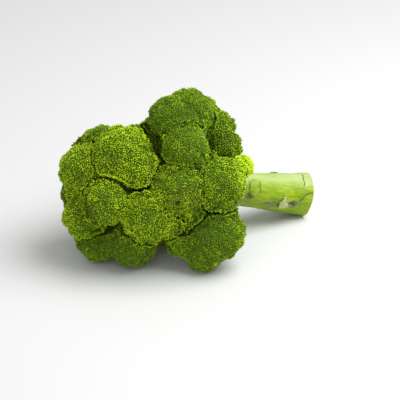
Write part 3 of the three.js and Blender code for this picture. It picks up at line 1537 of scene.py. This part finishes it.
            # painted shade in the crack
            painted_shade = max(painted_shade, 1 - float(ease(gap, 0.5 * width, 1.3 * width)))
        pale = max(0.0, min(pale * (1 - dull) * (1 - painted_shade), 1.0))
        return place + out * rise, dull, painted_shade, pale

    def crack_gap(
        self, crack: Crack, turn: float, along: float, radius: float
    ) -> float:
        """Distance from a place on the skin to a crack.

        Args:
            crack: The crack's corners.
            turn: The place's angle round the axis.
            along: Its distance from the cut.
            radius: The stalk's radius there.

        Returns:
            The distance along the skin.
        """
        middle = crack[len(crack) // 2][0]
        here = Vector((math.remainder(turn - math.radians(middle), math.tau) * radius, along))
        spots = [
            Vector((math.radians(math.remainder(degrees - middle, 360)) * radius, place * MM))
            for degrees, place in crack
        ]
        best = 1.0
        for start, end in zip(spots, spots[1:]):
            run = end - start
            share = min(max((here - start).dot(run) / run.length_squared, 0), 1)
            best = min(best, (here - start - run * share).length)
        return best

    def wax_and_highlight_at(self, turn: float, along: float) -> float:
        """How pale the skin is with waxy bloom and a painted highlight: most along the upper side.

        Args:
            turn: Angle round the axis.
            along: Distance from the cut.

        Returns:
            The share of the pale waxy bloom with its painted highlight.
        """
        off = math.remainder(turn - self.wax_highlight_turn, math.tau)
        band = math.exp(-((off / self.wax_highlight_width) ** 2))
        return band * (0.75 + 0.5 * noise.noise(Vector((turn * 3, along * 40, 7))))

    def trim(self, shape: bmesh.types.BMesh) -> None:
        """Cuts the stalk at its slant, and closes both ends.

        Args:
            shape: The open tube.
        """
        geometry = [*shape.verts, *shape.edges, *shape.faces]
        place = self.cut - self.into * self.spare
        bmesh.ops.bisect_plane(
            shape, geom=geometry, plane_co=place, plane_no=self.normal, clear_outer=True
        )
        inward = shape.verts.layers.float.new("inward")
        rims = [edge for edge in shape.edges if edge.is_boundary]
        closed = bmesh.ops.holes_fill(shape, edges=rims, sides=0)["faces"]
        bmesh.ops.recalc_face_normals(shape, faces=shape.faces)
        cap = max(closed, key=lambda face: face.calc_center_median().x)
        size = 1.0
        for share in self.face_steps:
            made = bmesh.ops.extrude_face_region(shape, geom=[cap])["geom"]
            bmesh.ops.delete(shape, geom=[cap], context="FACES_ONLY")
            cap = next(part for part in made if isinstance(part, bmesh.types.BMFace))
            middle = Matrix.Translation(-cap.calc_center_median())
            bmesh.ops.scale(shape, vec=Vector.Fill(3, share / size), space=middle, verts=cap.verts)
            size = share
            for vert in cap.verts:
                vert[inward] = 1 - share
        fan = bmesh.ops.poke(shape, faces=[cap])
        for vert in fan["verts"]:
            vert[inward] = 1
        for face in shape.faces:
            if all(vert[inward] > 0 or vert.is_boundary for vert in face.verts):
                face.material_index = 1
        for vert in shape.verts:
            if vert[inward] > 0:
                wave = 0.5 * noise.noise(vert.co * 130) + 0.25 * noise.noise(vert.co * 500)
                vert.co += self.normal * (wave * self.face_rough - self.face_dip * vert[inward])


# ---- leaf stubs --------------------------------------------------------------------------


@dataclass
class LeafStub:
    """What is left of a broken-off leaf: a torn lens of pale fibres on the stalk."""

    name: str
    stalk: Stalk
    material: Material
    taper: float = 0.0  # how much narrower the stub is at its upper side
    press: float = 0.0  # how far it is pressed flat on the stalk
    voxel: float = 0.5 * MM
    tear: float = 1.5 * MM
    fibre: float = 3.0  # how much longer than wide the torn fibres are
    foot: float = 0.5 * MM  # up to this height over the stalk nothing is pressed
    growth: float = 0.1 * MM

    def build(self) -> Object:
        """Makes the stub.

        Returns:
            The finished piece.
        """
        shape = remeshed(merged_copy(self.name), self.voxel)
        smooth(shape, 2)
        inward = shape.verts.layers.float.new("inward")
        rises = []
        self.shape_up(shape)
        for vert in shape.verts:
            _, _, _, height = self.stalk.solid.find_nearest(vert.co)
            share = float(ease(height, 0.4 * MM, 2.2 * MM))
            along = (vert.co - self.stalk.base).dot(self.stalk.into)
            patch = noise.noise(vert.co * 500)
            vert[inward] = min(max(share + 0.9 * patch, 0.0), 1.0)
            drawn = vert.co - self.stalk.into * along * (1 - 1 / self.fibre)
            rough = noise.noise(drawn * 420) + 0.7 * noise.noise(drawn * 1100)
            rises.append(self.growth + self.tear * share * (rough - 0.3))
        swell(shape, rises)
        above_surface(shape)
        piece = piece_of(f"{self.name}_torn", shape, [self.material])
        return enrol(piece, Slot.STUB, self.name)

    def shape_up(self, shape: bmesh.types.BMesh) -> None:
        """Presses the stub flat, and draws it in along the stalk towards its upper side.

        Args:
            shape: The stub's mesh.
        """
        middle = sum((vert.co for vert in shape.verts), Vector()) / len(shape.verts)
        half = max(abs((vert.co - middle).z) for vert in shape.verts)
        for vert in shape.verts:
            below, _, _, height = self.stalk.solid.find_nearest(vert.co)
            if height > self.foot:
                vert.co = vert.co.lerp(below, self.press * (1 - self.foot / height))
            up = (vert.co - middle).z / half
            along = (vert.co - middle).dot(self.stalk.into)
            vert.co += self.stalk.into * (along * -self.taper * up + self.taper * 1.5 * MM * up)


# ---- studio ------------------------------------------------------------------------------


@dataclass(frozen=True)
class SoftLight:
    """A square soft light that faces the head."""

    name: str
    place: tuple[float, float, float]
    size: float  # its side, in metres
    watts: float


@dataclass
class Studio:
    """The camera, the soft lights and the pale floor."""

    azimuth: float = math.radians(-30)
    elevation: float = math.radians(26)
    distance: float = 2.5
    width: float = 0.34  # what the view takes in at the head
    aim: Vector = field(default_factory=lambda: Vector((-0.0036, -0.0205, 0.048)))
    lights: tuple[SoftLight, ...] = (
        SoftLight("key", (0.45, -0.3, 1.0), 0.9, 16),
        SoftLight("fill", (-0.8, -0.9, 0.7), 1.0, 3),
    )
    sky: float = 0.56  # strength of the even light from all round
    floor_grey: float = 0.68
    floor_half: float = 4.0  # half the floor's side, in metres

    def back(self) -> Vector:
        """The direction from the head to the camera.

        Returns:
            A vector of length 1.
        """
        level = math.cos(self.elevation)
        return Vector(
            (
                math.sin(self.azimuth) * level,
                -math.cos(self.azimuth) * level,
                math.sin(self.elevation),
            )
        )

    def camera(self) -> None:
        """Sets the camera."""
        data = bpy.data.cameras.new("camera")
        data.sensor_width = 36
        data.lens = data.sensor_width * self.distance / self.width
        data.clip_end = 20
        camera = placed("camera", data)
        camera.location = self.aim + self.back() * self.distance
        camera.rotation_euler = self.back().to_track_quat("Z", "Y").to_euler()
        bpy.context.scene.camera = camera

    def hang(self, lamp: SoftLight) -> None:
        """Hangs a light so that it faces the head.

        Args:
            lamp: The light.
        """
        data = bpy.data.lights.new(lamp.name, "AREA")
        data.size = lamp.size
        data.energy = lamp.watts
        light = placed(lamp.name, data)
        light.location = lamp.place
        light.rotation_euler = (Vector(lamp.place) - self.aim).to_track_quat("Z", "Y").to_euler()

    def floor(self) -> None:
        """Lays the floor."""
        shape = bmesh.new()
        bmesh.ops.create_grid(shape, x_segments=1, y_segments=1, size=self.floor_half)
        floor = placed("floor", mesh_of("floor", shape))
        material = bpy.data.materials.new("floor")
        material.use_nodes = True
        surface = material.node_tree.nodes["Principled BSDF"]
        surface.inputs["Base Color"].default_value = (*[self.floor_grey] * 3, 1)
        surface.inputs["Roughness"].default_value = 0.6
        floor.data.materials.append(material)

    def set_up(self) -> None:
        """Makes the whole studio."""
        self.camera()
        self.floor()
        for lamp in self.lights:
            self.hang(lamp)
        world = bpy.data.worlds.new("world")
        world.use_nodes = True
        background = world.node_tree.nodes["Background"]
        background.inputs["Color"].default_value = WHITE
        background.inputs["Strength"].default_value = self.sky
        bpy.context.scene.world = world
        bpy.context.scene.view_settings.view_transform = "Standard"


# ---- the head ----------------------------------------------------------------------------


@dataclass(frozen=True)
class Patch:
    """A patch of buds of another tone, by its place on the head; the dark ones are painted shade.
    """

    turn: float  # degrees round the stalk's axis, from its upper side
    reach: float  # from the axis, in millimetres like the next two
    height: float  # from the cut
    size: float
    tone: float | Tone  # added to the buds' tone, or the tone that single buds turn to


@dataclass
class Broccoli:
    """The whole head."""

    shoot: str = "near_shoot"
    torn_stub: str = "leaf_stub_near"
    looks: dict[str, Look] = field(
        default_factory=lambda: {
            "tip_near": Look(tone=0.03, shoulder=1.7 * MM),
            "tip_end": Look(tone=0.05, shoulder=1.7 * MM),
            "tip_top": Look(tone=0.1, shoulder=1.9 * MM),
            "tip_far": Look(tone=-0.02),
            "upper": Look(shoulder=0.3 * MM, tone=-0.08),
            "upper_far": Look(tone=-0.05),
            "near_high": Look(shoulder=-0.2 * MM, tone=-0.07),
            "near_middle": Look(shoulder=-0.2 * MM, tone=-0.04),
            "near_back": Look(shoulder=0.2 * MM, tone=-0.02),
            "near_low": Look(tone=-0.1),
            "tip_low": Look(tone=-0.11),
        }
    )
    patches: tuple[Patch, ...] = (
        # bright
        Patch(348, 40, 177, 9, 0.42),
        Patch(357, 45, 186, 8, 0.22),
        Patch(31, 9, 217, 7, 0.18),
        Patch(139, 36, 216, 6, 0.34),
        Patch(290, 29, 191, 7, 0.16),
        Patch(299, 37, 183, 7, 0.22),
        Patch(254, 30, 193, 5, 0.2),
        Patch(249, 57, 162, 8, 0.2),
        Patch(298, 71, 114, 13, 0.32),
        Patch(302, 71, 128, 7, 0.18),
        Patch(336, 53, 171, 3.4, 0.45),
        Patch(55, 54, 183, 6, 0.25),
        Patch(254, 73, 100, 9, 0.15),
        # dark: painted shade
        Patch(257, 50, 187, 12, -0.13),
        Patch(332, 28, 209, 12, -0.06),
        Patch(253, 69, 135, 13, -0.08),
        Patch(342, 55, 109, 14, -0.05),
        # yellowing
        Patch(285, 62, 164, 12, Tone.DULL),
        Patch(274, 62, 152, 9, Tone.DULL),
        Patch(299, 54, 173, 6, Tone.DULL),
        Patch(183, 34, 222, 9, Tone.DULL),
        # browning
        Patch(312, 65.5, 146, 3.8, Tone.SPOT),
        Patch(304, 63, 153, 3.5, Tone.SPOT),
        Patch(289, 65, 150, 3.5, Tone.SPOT),
        Patch(274.5, 61.5, 167, 3.5, Tone.SPOT),
    )

    def tint_and_shade_patches(self, stalk: Stalk) -> list[TintAndShadePatch]:
        """Lays the patches round the stalk.

        Args:
            stalk: The stalk that they are measured from.

        Returns:
            The patches, in the frame's own place.
        """
        laid = []
        for patch in self.patches:
            out = stalk.spread(math.radians(patch.turn))
            middle = stalk.base + stalk.into * patch.height * MM + out * patch.reach * MM
            ageing = isinstance(patch.tone, Tone)
            tone = patch.tone.value if ageing else patch.tone
            laid.append(TintAndShadePatch(middle, patch.size * MM, tone, ageing))
        return laid

    def names(self) -> list[str]:
        """The florets' names, as the CAD has them."""
        return sorted(
            node.removeprefix("floret_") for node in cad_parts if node.startswith("floret_")
        )

    def others(self, name: str) -> BVHTree:
        """Gathers every other floret's CAD solid.

        Args:
            name: The floret that is left out.

        Returns:
            A search tree over the others.
        """
        draft = bmesh.new()
        for other in self.names():
            if other != name:
                draft.from_mesh(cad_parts[f"floret_{other}"].data)
        tree = BVHTree.FromBMesh(draft)
        draft.free()
        return tree

    def build(self) -> None:
        """Builds every piece in order."""
        stalk = Stalk(StalkFinish().material(TILT), CutFinish().material())
        stalk.build()
        torn = StubFinish().material()
        grown = StubFinish("leaf_collar", linear(150, 178, 20), linear(122, 148, 16)).material()
        for node in sorted(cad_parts):
            if node == self.torn_stub:
                LeafStub(node, stalk, torn, taper=0.75).build()
            elif node.startswith("leaf_stub"):
                LeafStub(node, stalk, grown, press=0.55, tear=0.6 * MM).build()
        bud = Bud()
        tint_and_shade_patches = self.tint_and_shade_patches(stalk)
        bud_finish, branch_finish = BudFinish().material(), BranchFinish().material()
        crown = Crown([name for name in self.names() if name != self.shoot]).outline()
        for name in self.names():
            look = self.looks.get(name, Look())
            kind = Shoot if name == self.shoot else Floret
            floret = kind(name, look, self.others(name), crown, bud_finish, tint_and_shade_patches)
            floret.build(bud)
            Branch(name, floret.ribs, stalk.solid, branch_finish).build()
        bpy.data.meshes.remove(bud.mesh)


def corners(box: tuple) -> list[list[float]]:
    """A box as plain lists of numbers."""
    return [[float(value) for value in corner] for corner in box]


def main() -> None:
    """Builds the head and its studio."""
    logging.basicConfig(level=logging.INFO, format="%(message)s")
    Broccoli().build()
    Studio().set_up()


if __name__ == "__main__":
    main()
